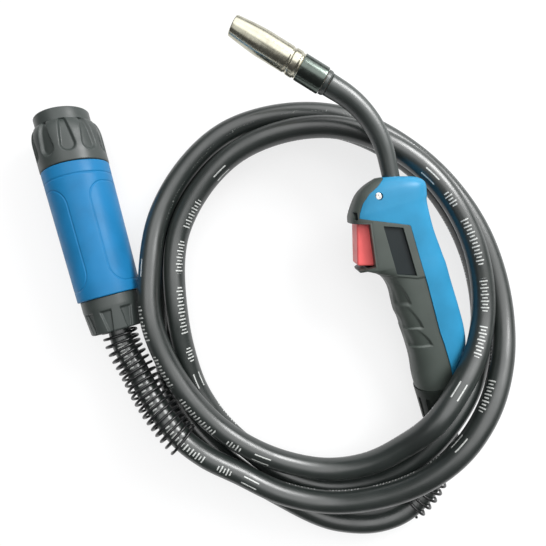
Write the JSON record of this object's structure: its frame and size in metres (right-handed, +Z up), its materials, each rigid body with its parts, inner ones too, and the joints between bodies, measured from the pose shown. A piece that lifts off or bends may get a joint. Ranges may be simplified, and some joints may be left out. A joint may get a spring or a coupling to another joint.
{
  "type": "mig welding torch",
  "caption": "MIG welding torch with bent neck, trigger handle, coiled power cable and central connector with a fluted hand nut.",
  "frame": {"origin": "on the floor, under the middle of the torch with its neck and nozzle, without the cable and connector", "axes": "+Z up from the floor that the torch lies on; +Y runs along the torch towards its nozzle; +X to the right of the handle's back"},
  "size_m": [0.39, 0.4035, 0.0921],
  "materials": {
    "grip_grey": "soft satin moulding",
    "cover_blue": "satin moulding",
    "trigger_red": "satin moulding",
    "black_plastic": "moulded",
    "fitting_grey": "moulded satin",
    "jacket_black": "smooth sleeve",
    "cable_black": "smooth jacket, soft sheen",
    "spring_black": "black spring wire",
    "nickel": "bright plated",
    "brass": "turned",
    "copper": "turned copper",
    "steel": "bright steel",
    "insulator": "heat-proof insulator",
    "seal": "seal"
  },
  "bodies": {
    "torch": {"shell_right": "grip_grey", "shell_left": "grip_grey", "back_cover": "cover_blue", "head_screw": "nickel", "shell_screws": "steel", "trigger_pin": "steel", "trigger_spring": "steel", "micro_switch": "black_plastic", "trigger_leads": "black_plastic", "neck_block": "brass", "cable_ferrule": "copper", "tail_ferrule": "fitting_grey", "neck_tube": "copper", "neck_jacket": "jacket_black", "neck_collar": "jacket_black", "neck_insulator": "insulator", "nozzle_clip": "steel", "tip_holder": "brass", "contact_tip": "copper", "handle_spring": "spring_black", "cable": "cable_black", "connector_spring": "spring_black", "rear_collar": "fitting_grey", "connector_housing": "cover_blue", "housing_screws": "steel", "connector_body": "brass", "nut_clip": "steel", "insulator_disc": "insulator", "main_pin": "brass", "o_rings": "seal", "liner_nut": "brass", "wire_liner": "steel", "contact_spring_a": "steel", "contact_spring_b": "steel"},
    "trigger": {"trigger": "trigger_red"},
    "plunger": {"switch_plunger": "trigger_red"},
    "nozzle": {"gas_nozzle": "nickel"},
    "nut": {"hand_nut": "fitting_grey"},
    "contact_a": {"contact_pin_a": "brass"},
    "contact_b": {"contact_pin_b": "brass"}
  },
  "joints": [
    {"name": "trigger_hinge", "type": "hinge", "parent": "torch", "child": "trigger", "pos_m": [0.00366, 0.06108, 0.05305], "axis": [0.0552, -0.2004, 0.9781], "range_deg": [0, 8], "stiffness_Nm_per_rad": 0.9, "springref_deg": -4.58, "deforming": ["trigger_spring"]},
    {"name": "plunger_slide", "type": "slide", "parent": "torch", "child": "plunger", "axis": [0.9641, 0.2656, 0], "range_m": [0, 0.0036]},
    {"name": "nozzle_slide", "type": "slide", "parent": "torch", "child": "nozzle", "axis": [-0.8706, 0.4701, 0.1455], "range_m": [0, 0.025]},
    {"name": "nut_turn", "type": "hinge", "parent": "torch", "child": "nut", "pos_m": [-0.22577, 0.10054, 0.02719], "axis": [-0.2588, 0.9658, 0.0148], "continuous": true},
    {"name": "contact_a_slide", "type": "slide", "parent": "torch", "child": "contact_a", "axis": [0.2588, -0.9658, -0.0148], "range_m": [0, 0.0038], "stiffness_N_per_m": 500, "springref_m": -0.002, "deforming": ["contact_spring_a"]},
    {"name": "contact_b_slide", "type": "slide", "parent": "torch", "child": "contact_b", "axis": [0.2588, -0.9658, -0.0148], "range_m": [0, 0.0038], "stiffness_N_per_m": 500, "springref_m": -0.002, "deforming": ["contact_spring_b"]}
  ],
  "couplings": [
    {"joint": "plunger_slide", "follows": "trigger_hinge", "m_per_rad": 0.0245}
  ]
}
